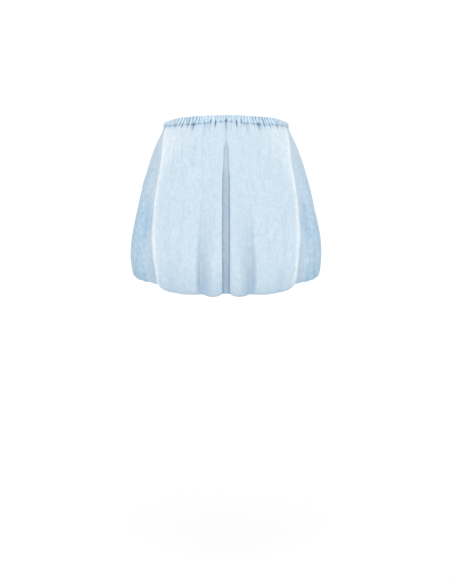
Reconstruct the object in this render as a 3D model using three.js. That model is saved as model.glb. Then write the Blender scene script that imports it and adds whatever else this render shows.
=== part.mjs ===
// A balloon skirt in light chambray, standing open as it does when it is worn. Four pieces are cut and sewn:
// a front panel with an inverted pleat down its centre, a back panel, a gathered waistband with its elastic
// inside, and a hem band inside the skirt that holds the cloth where it turns under.
// Millimetres. +Z is up, the front faces -Y, and the origin is the middle of the waist ring.
import * as THREE from "three";

// Driving dimensions.
const WAIST_HALF_WIDTH = 138;
const WAIST_HALF_DEPTH = 99;
const BAND_HEIGHT = 17;
const BAND_THICK = 3; // two layers of cloth and the elastic between them
const BAND_SWELL = 1; // how far the band's middle stands out
const BAND_WAVE = 1.5; // how deep a common gather of the band is
const CLOTH_THICK = 1.4;
const SEAM_GAP = 0.3;
const HEM_BAND_HEIGHT = 18;
const HEM_BAND_THICK = 1.8;
const HEM_BAND_COLUMNS = 96;

// Gathers, counted from the centre to a side seam, so that the whole waist has four times as many.
const GATHERS = 24;
const COLUMNS_PER_GATHER = 3;
const GATHER_JITTER = 0.45; // how far a groove strays from even spacing, as a share of it
const GATHER_CROWDING = 0.055; // evens out the spacing along the oval waist
const GATHER_DEEPEST = 1.3;
const GATHER_SHALLOWEST = 0.5;
const SHOULDER = 0.5; // height of the cloth between two grooves, as a share of a groove's depth

// Columns of the lower cloth, from the centre to the side seam.
const SIDE_COLUMNS = (GATHERS * COLUMNS_PER_GATHER) / 2;
const RIPPLE_EVERY = 3; // columns from one gather of the hem to the next

// Sections down the cloth, from the waist seam over the fold at the hem and up inside to the hem band.
// fall is the share of the drop from the waist seam to the hem's lowest edge. wide, front and back are half
// sizes. folds is the strength of the folds, gather the depth of the waist gathers, ripple that of the hem's
// gathers, aside is how squarely the wall stands off the pleat's sides, and inside says how far the cloth has
// turned under. Where a row leaves one of these out, folds and aside are 1 and the others 0.
const SECTIONS = [
  { fall: 0.0, wide: 138, front: 99, back: 99, gather: 1.5 },
  { fall: 0.03, wide: 143.5, front: 102.5, back: 103.5, gather: 1.1 },
  { fall: 0.062, wide: 149.3, front: 106, back: 108, gather: 0.6 },
  { fall: 0.105, wide: 156, front: 110.5, back: 114 },
  { fall: 0.17, wide: 164.3, front: 116.5, back: 122 },
  { fall: 0.26, wide: 174.3, front: 124, back: 131.5 },
  { fall: 0.37, wide: 184.5, front: 132, back: 140 },
  { fall: 0.49, wide: 194, front: 139.5, back: 147.5 },
  { fall: 0.61, wide: 202.3, front: 146, back: 153 },
  { fall: 0.73, wide: 209.8, front: 151.5, back: 157 },
  { fall: 0.84, wide: 212, front: 155, back: 159 },
  { fall: 0.92, wide: 209.5, front: 154, back: 157, folds: 0.95, aside: 0.95 },
  { fall: 0.972, wide: 205, front: 149, back: 151.5, folds: 0.85, aside: 0.85 },
  { fall: 1.0, wide: 190, front: 138, back: 140, folds: 0.55, ripple: 0.5, aside: 0.2, inside: 0.2 },
  { fall: 0.978, wide: 176, front: 127.5, back: 129, folds: 0.2, ripple: 1.3, aside: 0, inside: 0.7 },
  { fall: 0.925, wide: 170, front: 122.5, back: 123.5, folds: 0, ripple: 1, aside: 0, inside: 1 },
].map((row) => ({ folds: 1, gather: 0, ripple: 0, aside: 1, inside: 0, ...row }));
const FINE_SECTIONS = 3; // the sections at the waist, which have a column for each side of each gather

// The hem's lowest edge, by the angle from the panel's centre to the side seam.
const FRONT_HEM = [
  { angle: 0, low: -376 },
  { angle: 3, low: -379 },
  { angle: 8, low: -383 },
  { angle: 12, low: -381 },
  { angle: 16, low: -375.5 },
  { angle: 20, low: -378.5 },
  { angle: 28, low: -377.5 },
  { angle: 36, low: -373.5 },
  { angle: 42, low: -368 },
  { angle: 46.5, low: -360 },
  { angle: 51, low: -353 },
  { angle: 65, low: -348.5 },
  { angle: 90, low: -343 },
];
const BACK_HEM = [
  { angle: 0, low: -364 },
  { angle: 13, low: -367 },
  { angle: 25, low: -362 },
  { angle: 34, low: -362 },
  { angle: 45, low: -353 },
  { angle: 54, low: -348 },
  { angle: 70, low: -345.5 },
  { angle: 90, low: -343 },
];
const INSIDE_HEM_SIDE = -343; // the same edge as the hem band sees it, a smooth ring
const INSIDE_HEM_DROP = 24; // how much lower that ring lies at the centre than at the sides

// Folds from a panel's centre to its side seam, repeated in mirror image on the other half. The angles place
// the fold at the waist, a third of the way down and at the hem. depth is inwards, so a ridge has a negative
// one. inner and outer are its widths towards the centre and the side, start and full the falls where it begins
// and has its whole depth, and end the fall where it has faded again, LASTING where it runs on over the hem.
const LASTING = 9;
const FRONT_FOLDS = [
  { angles: [80, 54, 46], depth: -4, inner: 34, outer: 9, start: -0.05, full: 0.4, end: LASTING },
  { angles: [84, 57.4, 49.4], depth: 13, inner: 10, outer: 46, start: -0.03, full: 0.4, end: LASTING },
  { angles: [14, 14.6, 15.8], depth: 10, inner: 21, outer: 8, start: 0.3, full: 0.95, end: LASTING },
  { angles: [31, 30, 29], depth: 2.6, inner: 9, outer: 9, start: -0.1, full: -0.05, end: 0.16 },
  { angles: [19.5, 19, 18], depth: 1.8, inner: 8, outer: 8, start: -0.1, full: 0.02, end: 0.3 },
];
const BACK_FOLDS = [
  { angles: [80, 58, 52], depth: -3, inner: 34, outer: 12, start: -0.05, full: 0.5, end: LASTING },
  { angles: [84, 62.5, 56.4], depth: 9, inner: 14, outer: 40, start: -0.03, full: 0.5, end: LASTING },
  { angles: [22, 24, 27], depth: 8, inner: 22, outer: 16, start: 0.05, full: 0.9, end: LASTING },
  { angles: [0, 0, 0], depth: 5, inner: 26, outer: 26, start: 0.02, full: 0.7, end: LASTING },
];
const MIDDLE_FALL = 0.34; // the fall that the second of a fold's three angles belongs to

// Where the lower cloth's columns stand, as shares of those from the centre to the side seam: the same share
// of the columns always lies between the same two folds. fold is a row of the panel's folds, off a width away.
const FRONT_STOPS = [
  { share: 5 / 36, fold: 2, off: -21 },
  { share: 8 / 36, fold: 2, off: -2 },
  { share: 11 / 36, fold: 2, off: 9 },
  { share: 19 / 36, fold: 0, off: -18 },
  { share: 22 / 36, fold: 0, off: -1 },
  { share: 26 / 36, fold: 1, off: 2 },
  { share: 30 / 36, fold: 1, off: 28 },
];
const BACK_STOPS = [
  { share: 10 / 36, fold: 2, off: -14 },
  { share: 14 / 36, fold: 2, off: 14 },
  { share: 21 / 36, fold: 0, off: -16 },
  { share: 24 / 36, fold: 0, off: 0 },
  { share: 28 / 36, fold: 1, off: 3 },
  { share: 31 / 36, fold: 1, off: 26 },
];
const STOPS_FROM = 0.07; // falls between which the columns leave the gathers and go to the folds
const STOPS_FULL = 0.24;

// The inverted pleat. Its section runs from the middle of the cloth behind to the lip in front: mouth and
// bulge are shares of the two widths, and deep is a share of the depth.
const PLEAT_SECTION = [
  { mouth: 0, bulge: 0, deep: 0.95 },
  { mouth: 0.5, bulge: 0.5, deep: 1.0 },
  { mouth: 0.97, bulge: 0.85, deep: 0.93 },
  { mouth: 1, bulge: 1, deep: 0.71 },
  { mouth: 1, bulge: 0.75, deep: 0.45 },
  { mouth: 1, bulge: 0.3, deep: 0.21 },
  { mouth: 1, bulge: 0, deep: 0.05 },
  { mouth: 1, bulge: 0, deep: 0 },
];
// How squarely the wall stands off sideways at each half column of the pleat, from its middle to the lip.
const PLEAT_ASIDE = [0, 0.2, 0.4, 0.7, 1, 1, 1, 1, 1, 1, 1, 1, 1, 0.5, 0];
const PLEAT_LIP = 3; // how far the rounded lip reaches from the mouth
const PLEAT_COLUMNS = PLEAT_SECTION.length - 1;
const SPREAD_FROM = 0.2; // how far the cloth has turned under where the pleat starts to open out flat
const SPREAD_FULL = 0.7; // and where it lies open
const PLEAT_OPENS = 14; // the angle its lip then reaches
const PLEAT_PUSHES = 30; // the angle up to which it moves the cloth beside it
// The pleat's half mouth, the widening behind it and its depth, down the skirt.
const PLEAT_SIZES = [
  { fall: 0.0, mouth: 2, bulge: 0.3, depth: 2.8 },
  { fall: 0.06, mouth: 0.9, bulge: 0.6, depth: 7.5 },
  { fall: 0.105, mouth: 0.8, bulge: 1, depth: 9 },
  { fall: 0.17, mouth: 4, bulge: 1.8, depth: 13 },
  { fall: 0.26, mouth: 7, bulge: 2.8, depth: 17 },
  { fall: 0.4, mouth: 8.6, bulge: 4, depth: 21 },
  { fall: 0.84, mouth: 9, bulge: 4, depth: 22 },
  { fall: 0.972, mouth: 8.8, bulge: 1, depth: 22 },
  { fall: 1.0, mouth: 8.8, bulge: 0, depth: 22 },
];

const SEAM_Z = -BAND_HEIGHT / 2 - SEAM_GAP;
const RADIANS = Math.PI / 180;
const SIDE_ANGLE = 90;

const frontShape = { folds: FRONT_FOLDS, stops: FRONT_STOPS, hem: FRONT_HEM };
const backShape = { folds: BACK_FOLDS, stops: BACK_STOPS, hem: BACK_HEM };
const front = { sign: -1, depth: "front", pleat: true, ...frontShape };
const back = { sign: 1, depth: "back", pleat: false, ...backShape };

const clamp = (x) => Math.min(1, Math.max(0, x));
const ease = (x) => clamp(x) ** 2 * (3 - 2 * clamp(x));
const mix = (a, b, share) => a + (b - a) * share;

// A number from 0 to 1 that looks random and is the same each time.
function uneven(i) {
  const wide = Math.sin(i * 12.9898 + 4.1414) * 43758.5453;
  return wide - Math.floor(wide);
}

// Reads a column of a table that is sorted by another column, with eased steps or straight lines between rows.
function read(table, by, at, column, shape = ease) {
  if (at <= table[0][by]) return table[0][column];
  const next = table.findIndex((row) => row[by] > at);
  if (next < 0) return table[table.length - 1][column];
  const before = table[next - 1];
  const share = (at - before[by]) / (table[next][by] - before[by]);
  return mix(before[column], table[next][column], shape(share));
}

// The angle at which a groove between gathers lies, for a place counted in gathers from the centre.
function gatherAngle(place, from) {
  const share = place / GATHERS;
  return mix(from, SIDE_ANGLE, share - GATHER_CROWDING * Math.sin(Math.PI * share));
}

// A groove's own place, strayed a little from its number.
function groovePlace(i) {
  return i === 0 || i === GATHERS ? i : i + GATHER_JITTER * (uneven(i) - 0.5);
}

// The place of a gather's column and how far it stands out, as a share of the common depth.
function gatherColumn(column) {
  const i = Math.floor(column / COLUMNS_PER_GATHER);
  const part = column / COLUMNS_PER_GATHER - i;
  const place = part === 0 ? groovePlace(i) : mix(groovePlace(i), groovePlace(i + 1), part);
  const depth = mix(GATHER_SHALLOWEST, GATHER_DEEPEST, uneven(i + 50));
  return { place, out: part === 0 ? -depth : SHOULDER };
}

// The length along a section for each radian of its angle, which turns widths on the cloth into angles.
function reach(wide, deep, angle) {
  return Math.hypot(wide * Math.cos(angle * RADIANS), deep * Math.sin(angle * RADIANS));
}

// A fold's angle at one fall.
function foldAngle(fold, fall) {
  const [top, middle, low] = fold.angles;
  if (fall < MIDDLE_FALL) return mix(middle, top, (1 - fall / MIDDLE_FALL) ** 2);
  return mix(middle, low, ease((fall - MIDDLE_FALL) / (1 - MIDDLE_FALL)));
}

// How far the folds push the cloth out at an angle.
function foldPush(panel, section, angle, wide, deep) {
  let push = 0;
  for (const fold of panel.folds) {
    const at = foldAngle(fold, section.fall);
    const away = (angle - at) * RADIANS * reach(wide, deep, at);
    const width = away < 0 ? fold.inner : fold.outer;
    const grown = ease((section.fall - fold.start) / (fold.full - fold.start));
    const left = fold.end === LASTING ? 1 : 1 - ease(section.fall / fold.end);
    push -= fold.depth * ease(1 - Math.abs(away) / width) * grown * left * section.folds;
  }
  return push;
}

// The angle of a column of the lower cloth, between the lip of the pleat, or the centre, and the side seam.
function stopAngle(panel, section, share, from, wide, deep) {
  const rows = [{ share: 0, angle: from }];
  for (const stop of panel.stops) {
    const at = foldAngle(panel.folds[stop.fold], section.fall);
    rows.push({ share: stop.share, angle: at + stop.off / RADIANS / reach(wide, deep, at) });
  }
  rows.push({ share: 1, angle: SIDE_ANGLE });
  return read(rows, "share", share, "angle", (x) => x);
}

// A point of a panel's outer face. column is counted in lower columns from the centre, negative on the left.
function panelPoint(panel, column, section) {
  const side = Math.sign(column);
  const wide = section.wide;
  const deep = section[panel.depth];
  const mouth = read(PLEAT_SIZES, "fall", section.fall, "mouth");
  const bulge = read(PLEAT_SIZES, "fall", section.fall, "bulge");
  const pleatDepth = read(PLEAT_SIZES, "fall", section.fall, "depth") * section.folds;
  const lip = panel.pleat ? Math.asin((mouth + PLEAT_LIP) / wide) / RADIANS : 0;
  const pleatColumns = panel.pleat ? PLEAT_COLUMNS : 0;
  const beyond = Math.abs(column) - pleatColumns;

  let angle;
  let out;
  if (beyond < 0) {
    const at = Math.abs(column);
    const row = Math.min(Math.floor(at), PLEAT_COLUMNS - 1);
    const [a, b] = [PLEAT_SECTION[row], PLEAT_SECTION[row + 1]];
    const part = at - row;
    const lipShare = row === PLEAT_COLUMNS - 1 ? part : 0;
    const widened = mix(a.mouth, b.mouth, part) * mouth + mix(a.bulge, b.bulge, part) * bulge;
    const across = widened + lipShare * PLEAT_LIP;
    angle = mix(Math.asin(across / wide) / RADIANS, (at / PLEAT_COLUMNS) * PLEAT_OPENS, spread(section));
    out = -mix(a.deep, b.deep, part) * pleatDepth;
  } else {
    const gathered = gatherColumn(Math.round(beyond * 2));
    const top = gatherAngle(gathered.place, lip);
    const low = stopAngle(panel, section, beyond / SIDE_COLUMNS, lip, wide, deep);
    angle = mix(top, low, ease((section.fall - STOPS_FROM) / (STOPS_FULL - STOPS_FROM)));
    if (panel.pleat) angle += pushed(angle, lip) * spread(section);
    const atLip = panel.pleat && beyond === 0;
    out = foldPush(panel, section, angle, wide, deep) + (atLip ? 0 : gathered.out * section.gather);
  }

  const plan = new THREE.Vector2(side * wide * Math.sin(angle * RADIANS), deep * Math.cos(angle * RADIANS));
  const normal = new THREE.Vector2(plan.x / wide ** 2, plan.y / deep ** 2).normalize();
  if (beyond < 0) normal.set(0, 1);
  plan.addScaledVector(normal, out);
  const fallTo = mix(read(panel.hem, "angle", angle, "low"), insideHem(angle), section.inside);
  const z = mix(SEAM_Z, fallTo, section.fall);
  const atSeam = Math.max(plan.y, SEAM_GAP / 2);
  return new THREE.Vector3(plan.x, panel.sign * atSeam, z);
}

// How far the pleat has opened: not at all outside, and wholly where the turned-under cloth meets its band.
function spread(section) {
  return ease((section.inside - SPREAD_FROM) / (SPREAD_FULL - SPREAD_FROM));
}

// How far the opened pleat moves the cloth beside it over.
function pushed(angle, lip) {
  return (PLEAT_OPENS - lip) * clamp((PLEAT_PUSHES - angle) / (PLEAT_PUSHES - lip));
}

function insideHem(angle) {
  return INSIDE_HEM_SIDE - INSIDE_HEM_DROP * Math.cos(angle * RADIANS) ** 2;
}

// How far a hem gather pushes a column along the cloth's own normal.
function hemRipple(column, section, pleatColumns) {
  const beyond = Math.abs(column) - pleatColumns;
  if (beyond <= 0 || beyond >= SIDE_COLUMNS) return 0;
  return (beyond % RIPPLE_EVERY === 0 ? -1 : SHOULDER) * section.ripple;
}

// Turns rows of points on a sheet's outer and inner faces into one closed geometry. A row holds either every
// column or every second one, which its step says, and the row that follows a step of 1 may have a step of 2.
function sheetGeometry(rows, closed) {
  const positions = [];
  const triangles = [];
  const columns = rows[0].outer.length;
  const indices = (points) => points.map((p) => (p ? positions.push(p.x, p.y, p.z) / 3 - 1 : -1));
  const faces = rows.map((row) => ({ step: row.step, outer: indices(row.outer), inner: indices(row.inner) }));
  const at = (list, c) => list[closed ? c % columns : c];
  const last = closed ? columns : columns - 1;
  const add = (flip, a, b, c) => triangles.push(...(flip ? [a, c, b] : [a, b, c]));

  const skin = (upper, lower, side, flip) => {
    for (let c = 0; c < last; c += lower.step) {
      const [u, l, end] = [upper[side], lower[side], c + lower.step];
      if (upper.step === lower.step) {
        add(flip, at(u, c), at(l, c), at(l, end));
        add(flip, at(u, c), at(l, end), at(u, end));
      } else {
        add(flip, at(u, c), at(l, c), at(u, c + 1));
        add(flip, at(u, c + 1), at(l, c), at(l, end));
        add(flip, at(u, c + 1), at(l, end), at(u, end));
      }
    }
  };
  const rim = (row, flip) => {
    for (let c = 0; c < last; c += row.step) {
      const [a, b] = [at(row.outer, c), at(row.outer, c + row.step)];
      const [d, e] = [at(row.inner, c), at(row.inner, c + row.step)];
      add(flip, a, b, e);
      add(flip, a, e, d);
    }
  };
  const edge = (upper, lower, c, flip) => {
    add(flip, upper.outer[c], upper.inner[c], lower.inner[c]);
    add(flip, upper.outer[c], lower.inner[c], lower.outer[c]);
  };

  for (let r = 0; r + 1 < faces.length; r++) {
    skin(faces[r], faces[r + 1], "outer", false);
    skin(faces[r], faces[r + 1], "inner", true);
    if (closed) continue;
    edge(faces[r], faces[r + 1], 0, false);
    edge(faces[r], faces[r + 1], last, true);
  }
  rim(faces[0], false);
  rim(faces[faces.length - 1], true);

  const geometry = new THREE.BufferGeometry();
  geometry.setAttribute("position", new THREE.Float32BufferAttribute(positions, 3));
  geometry.setIndex(triangles);
  geometry.computeVertexNormals();
  return geometry;
}

// The cloth's normal at a point of a grid, from its neighbours a span of columns away on either side.
function gridNormal(grid, span, r, c) {
  const [above, below] = [grid[Math.max(r - 1, 0)][c], grid[Math.min(r + 1, grid.length - 1)][c]];
  const left = grid[r][Math.max(c - span, 0)];
  const right = grid[r][Math.min(c + span, grid[r].length - 1)];
  const down = new THREE.Vector3().subVectors(below, above);
  const across = new THREE.Vector3().subVectors(right, left);
  const normal = down.cross(across);
  const onSideSeam = c === 0 || c === grid[r].length - 1;
  const onLevelSeam = r === 0 || r === grid.length - 1;
  if (onSideSeam) normal.y = 0;
  if (onLevelSeam) normal.z = 0;
  return normal.normalize();
}

// The way through the wall, from the outer face to the inner one, at a column of the pleat: straight back from
// the lips, and sideways too where the cloth runs from front to back.
function pleatBack(grid, column, section, r) {
  const middle = (grid[0].length - 1) / 2;
  const centre = (row) => {
    const at = Math.min(Math.max(row, 0), grid.length - 1);
    return new THREE.Vector2(-SECTIONS[at].front, grid[at][middle].z);
  };
  const down = centre(r + 1).sub(centre(r - 1));
  if (r === 0 || r === grid.length - 1) down.set(0, down.y);
  const back = new THREE.Vector3(0, -down.y, down.x).normalize();
  const sideways = Math.sign(column) * PLEAT_ASIDE[Math.round(Math.abs(column) * 2)] * section.aside;
  return back.add(new THREE.Vector3(sideways, 0, 0));
}

function panelGeometry(panel) {
  const pleatColumns = panel.pleat ? PLEAT_COLUMNS : 0;
  const half = SIDE_COLUMNS + pleatColumns;
  const columns = Array.from({ length: half * 4 + 1 }, (_, i) => i / 2 - half);
  const ordered = panel.sign < 0 ? columns : columns.slice().reverse();
  const grid = SECTIONS.map((section) => ordered.map((column) => panelPoint(panel, column, section)));
  const rows = SECTIONS.map((section, r) => {
    const step = r < FINE_SECTIONS ? 1 : 2;
    const span = r < FINE_SECTIONS ? COLUMNS_PER_GATHER : 2;
    const outer = [];
    const inner = [];
    ordered.forEach((column, c) => {
      const kept = c % step === 0;
      const inPleat = panel.pleat && Math.abs(column) <= PLEAT_COLUMNS;
      const normal = gridNormal(grid, span, r, c);
      const back = inPleat ? pleatBack(grid, column, section, r) : normal.clone().negate();
      const point = grid[r][c].clone().addScaledVector(normal, hemRipple(column, section, pleatColumns));
      outer.push(kept ? point : null);
      inner.push(kept ? point.clone().addScaledVector(back, CLOTH_THICK) : null);
    });
    return { step, outer, inner };
  });
  return sheetGeometry(rows, false);
}

// The waistband's section, from its lower edge up the outside and down the inside. up is a share of its
// height, in a share of its thickness, and wave the share of a gather's depth that shows there. The elastic's
// edge rounds the top, which stays just below the band's full height.
const BAND_SECTION = [
  { up: 0, in: 0, swell: 0, wave: 0.9 },
  { up: 0.5, in: 0, swell: 1, wave: 1 },
  { up: 0.94, in: 0.12, swell: 0.3, wave: 0.9 },
  { up: 0.94, in: 0.88, swell: 0.3, wave: 0.6 },
  { up: 0.5, in: 1, swell: 1, wave: 0.6 },
  { up: 0, in: 1, swell: 0, wave: 0.6 },
];

function bandGeometry() {
  const quarter = GATHERS * COLUMNS_PER_GATHER;
  const around = quarter * 4;
  const positions = [];
  const triangles = [];
  for (let c = 0; c < around; c++) {
    const fromCentre = c <= 2 * quarter ? Math.abs(c - quarter) : Math.abs(c - 3 * quarter);
    const gathered = gatherColumn(fromCentre);
    const angle = gatherAngle(gathered.place, 0) * RADIANS;
    const [ySign, xSign] = [c <= 2 * quarter ? -1 : 1, c > quarter && c < 3 * quarter ? 1 : -1];
    const normal = new THREE.Vector2(Math.sin(angle) / WAIST_HALF_WIDTH, Math.cos(angle) / WAIST_HALF_DEPTH);
    normal.normalize();
    for (const row of BAND_SECTION) {
      const out = row.swell * BAND_SWELL - row.in * BAND_THICK + gathered.out * row.wave * BAND_WAVE;
      const x = WAIST_HALF_WIDTH * Math.sin(angle) + normal.x * out;
      const y = WAIST_HALF_DEPTH * Math.cos(angle) + normal.y * out;
      positions.push(xSign * x, ySign * y, (row.up - 0.5) * BAND_HEIGHT);
    }
  }
  const deep = BAND_SECTION.length;
  for (let c = 0; c < around; c++) {
    for (let s = 0; s < deep; s++) {
      const [a, b] = [c * deep + s, c * deep + ((s + 1) % deep)];
      const [d, e] = [((c + 1) % around) * deep + s, ((c + 1) % around) * deep + ((s + 1) % deep)];
      triangles.push(a, d, e, a, e, b);
    }
  }
  const geometry = new THREE.BufferGeometry();
  geometry.setAttribute("position", new THREE.Float32BufferAttribute(positions, 3));
  geometry.setIndex(triangles);
  geometry.computeVertexNormals();
  return geometry;
}

// The hem band stands on the inner edge of the turned-under cloth, all the way round.
function hemBandGeometry() {
  const seam = SECTIONS[SECTIONS.length - 1];
  const rows = [];
  for (const up of [HEM_BAND_HEIGHT, 0]) {
    const outer = [];
    const inner = [];
    for (let c = 0; c < HEM_BAND_COLUMNS; c++) {
      const turn = ((c + 0.5) / HEM_BAND_COLUMNS) * 2 * Math.PI;
      const deep = Math.cos(turn) > 0 ? seam.front : seam.back;
      const low = mix(SEAM_Z, insideHem(turn / RADIANS), seam.fall) + SEAM_GAP;
      const place = (grow) =>
        new THREE.Vector3((seam.wide + grow) * Math.sin(turn), -(deep + grow) * Math.cos(turn), low + up);
      outer.push(place(HEM_BAND_THICK));
      inner.push(place(0));
    }
    rows.push({ step: 1, outer, inner });
  }
  return sheetGeometry(rows, true);
}

const chambray = { color: 0xc6dcea, roughness: 0.9, metalness: 0 };
const bandCloth = { color: 0xb9d3e6, roughness: 0.9, metalness: 0 };

function piece(name, geometry, finish) {
  const mesh = new THREE.Mesh(geometry, new THREE.MeshStandardMaterial(finish));
  mesh.name = name;
  return mesh;
}

const skirt = new THREE.Group();
skirt.add(
  piece("front_panel", panelGeometry(front), chambray),
  piece("back_panel", panelGeometry(back), chambray),
  piece("waistband", bandGeometry(), bandCloth),
  piece("hem_band", hemBandGeometry(), bandCloth),
);

export default skirt;
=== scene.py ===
"""The looks of a short balloon skirt in light chambray, filled out as it is when it is worn.

Each sewn piece is modelled as cloth over its solid in the frame: a front panel with an inverted pleat, a back
panel, a gathered waistband with its elastic inside, and the hem band that holds the turned-under cloth.
The tables are in millimetres, as a dressmaker measures, and MM turns them into the scene's metres.
+Z is up, the front faces -Y, and the origin is the middle of the waist ring.
"""

import math

import bpy
import numpy as np
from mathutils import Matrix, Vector


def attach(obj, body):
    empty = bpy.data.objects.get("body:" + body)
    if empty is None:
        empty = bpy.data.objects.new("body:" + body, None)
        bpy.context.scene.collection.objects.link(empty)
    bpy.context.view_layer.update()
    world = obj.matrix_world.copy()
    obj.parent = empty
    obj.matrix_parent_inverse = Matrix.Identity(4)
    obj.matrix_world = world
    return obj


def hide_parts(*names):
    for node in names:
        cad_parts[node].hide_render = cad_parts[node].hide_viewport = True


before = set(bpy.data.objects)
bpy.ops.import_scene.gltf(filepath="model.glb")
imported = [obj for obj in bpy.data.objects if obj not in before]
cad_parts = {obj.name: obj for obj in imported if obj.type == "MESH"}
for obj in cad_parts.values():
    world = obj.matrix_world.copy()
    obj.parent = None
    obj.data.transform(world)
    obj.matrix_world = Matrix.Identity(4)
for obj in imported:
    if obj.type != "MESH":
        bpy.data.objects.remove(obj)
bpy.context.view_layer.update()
MM = 0.001
TURN = 2 * math.pi

# Driving sizes. A pair that ramp() takes is where a smooth step starts and how long it is.
WAIST_HALF_WIDTH = 138.0
WAIST_HALF_DEPTH = 99.0
BAND_HEIGHT = 17.0
BAND_THICK = 3.0
BAND_SWELL = 0.6
CLOTH_THICK = 0.8
PLEAT_CLOTH_THICK = 0.25
SEAM_GAP = 0.3
SEAM_Z = -BAND_HEIGHT / 2 - SEAM_GAP
HEM_BAND_HEIGHT = 18.0
HEM_BAND_THICK = 1.8
SIDE_ANGLE = 90.0

# Sections down the cloth, from the waist seam over the fold at the hem and up inside to the hem band.
# fall is the share of the drop from the waist seam to the hem's lowest edge; wide, front and back are half
# sizes; folds is the strength of the folds and inside says how far the cloth has turned under.
SECTION_COLUMNS = ("fall", "wide", "front", "back", "folds", "inside")
SECTIONS = (
    (0, 138, 99, 99, 1, 0),
    (0.03, 143.5, 102.5, 103.5, 1, 0),
    (0.062, 149.3, 106, 108, 1, 0),
    (0.105, 156, 110.5, 114, 1, 0),
    (0.17, 164.3, 116.5, 122, 1, 0),
    (0.26, 174.3, 124, 131.5, 1, 0),
    (0.37, 184.5, 132, 140, 1, 0),
    (0.49, 194, 139.5, 147.5, 1, 0),
    (0.61, 202.3, 146, 153, 1, 0),
    (0.73, 209.8, 152, 157, 1, 0),
    (0.84, 212, 153.5, 158, 1, 0),
    (0.92, 209.5, 150.5, 155, 0.95, 0),
    (0.972, 205, 144.5, 149, 0.85, 0),
    (1, 190, 134.5, 138, 0.55, 0.2),
    (0.978, 176, 127.5, 129, 0.34, 0.7),
    (0.925, 170, 122.5, 123.5, 0, 1),
)

# The hem's lowest edge, by the angle from the panel's centre to the side seam.
HEM_COLUMNS = ("angle", "low")
FRONT_HEM = (
    (0, -377.4), (2.2, -378.2), (4.2, -383), (8, -386), (12, -384.5), (16, -379.5), (20, -381),
    (28, -380.5), (36, -376.5), (42, -371), (46.5, -361), (51, -357.5), (56, -354.5), (65, -350.5),
    (90, -343),
)
BACK_HEM = (
    (0, -364), (13, -367), (25, -362), (34, -362), (45, -353), (54, -348), (70, -345.5), (90, -343),
)
INSIDE_HEM_SIDE = -343.0
INSIDE_HEM_DROP = 24.0

# Folds from a panel's centre to its side seam: angles at the top, middle and hem, depth inwards, widths
# towards the centre and the side, the falls where it begins, is whole and has faded, and how sharp it is.
LASTING = 9
FRONT_FOLDS = (
    (69, 51.5, 43.6, -4, 32, 15, -0.05, 0.4, LASTING, 0.6),
    (77, 57.4, 49.4, 13, 10, 46, -0.03, 0.4, LASTING, 0.3),
    (13.6, 14.6, 15.8, 10, 34, 7, 0.45, 0.97, LASTING, 0.5),
    (11, 13.4, 15, 8, 28, 14, 0.08, 0.8, LASTING, 0),
    (31, 30, 29, 2.6, 9, 9, -0.1, -0.05, 0.16, 0.4),
    (19.5, 19, 18, 1.8, 8, 8, -0.1, 0.02, 0.3, 0.5),
)
BACK_FOLDS = (
    (80, 58, 52, -3, 34, 12, -0.05, 0.5, LASTING, 0.4),
    (84, 62.5, 56.4, 9, 14, 40, -0.03, 0.5, LASTING, 0.2),
    (22, 24, 27, 8, 20, 13, 0.05, 0.9, LASTING, 0.5),
    (0, 0, 0, 5, 22, 22, 0.02, 0.7, LASTING, 0.3),
)
MIDDLE_FALL = 0.34
CREASED_SHAPE = 1.7

# Where the cloth's columns stand lower down, so that as many always lie between the same two folds: the share
# of the columns, the number of the fold, and how far from it.
FRONT_STOPS = (
    (5 / 36, 2, -21), (8 / 36, 2, -2), (11 / 36, 2, 9), (19 / 36, 0, -18), (22 / 36, 0, -1),
    (26 / 36, 1, 2), (30 / 36, 1, 28),
)
BACK_STOPS = (
    (10 / 36, 2, -14), (14 / 36, 2, 14), (21 / 36, 0, -16), (24 / 36, 0, 0), (28 / 36, 1, 3),
    (31 / 36, 1, 26),
)
STOPS_FROM = 0.07
STOPS_FULL = 0.24

# The inverted pleat's section, from the middle of the cloth behind to the lip in front, in shares of its
# sizes, which are the half mouth, the widening behind it and the depth.
PLEAT_SECTION_COLUMNS = ("mouth", "bulge", "deep")
PLEAT_SECTION = (
    (0, 0, 0.95), (0.5, 0.5, 1), (0.97, 0.85, 0.93), (1, 1, 0.71), (1, 0.75, 0.45), (1, 0.3, 0.21),
    (1, 0, 0.05), (1, 0, 0),
)
PLEAT_LIP = 3.0
PLEAT_SIZE_COLUMNS = ("fall", "mouth", "bulge", "depth")
PLEAT_SIZES = (
    (0, 2, 0.3, 2.8), (0.06, 1.8, 0.3, 1.2), (0.11, 1.8, 0.4, 1.4), (0.13, 2.2, 1, 2.6),
    (0.15, 3.6, 1.5, 5), (0.172, 4.6, 1.8, 6), (0.22, 5.5, 2.2, 6.6), (0.28, 6.5, 2.9, 7.6),
    (0.335, 7.9, 3.5, 10), (0.46, 8.2, 4, 12), (0.7, 8.5, 4, 12.5), (0.84, 8.2, 4, 13.5),
    (0.972, 8, 1, 14), (1, 8, 0, 14),
)
SPREAD_FROM = 0.2
SPREAD_FULL = 0.7
PLEAT_OPENS = 14.0
PLEAT_PUSHES = 30.0

# Painted shade in the pleat: least on its floor, most on its walls, none on its lip, weak until it is open.
# The centre's painted shade lies on the closed line above it.
PLEAT_TINT = 0.32
PLEAT_TINT_SPAN = (0.6, 2.3)
WALL_SHADE = (0.09, 0.12)
LIP_LIGHT = (0.78, 0.08)
PLEAT_TINT_STARTS = (0.1, 0.1)
PLEAT_TINT_TOP = 0.12
PLEAT_TINT_GROWS = (0.27, 0.08)
CENTRE_TINT = 1.2
CENTRE_TINT_HALF = 0.9
CENTRE_TINT_RUN = 15

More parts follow.
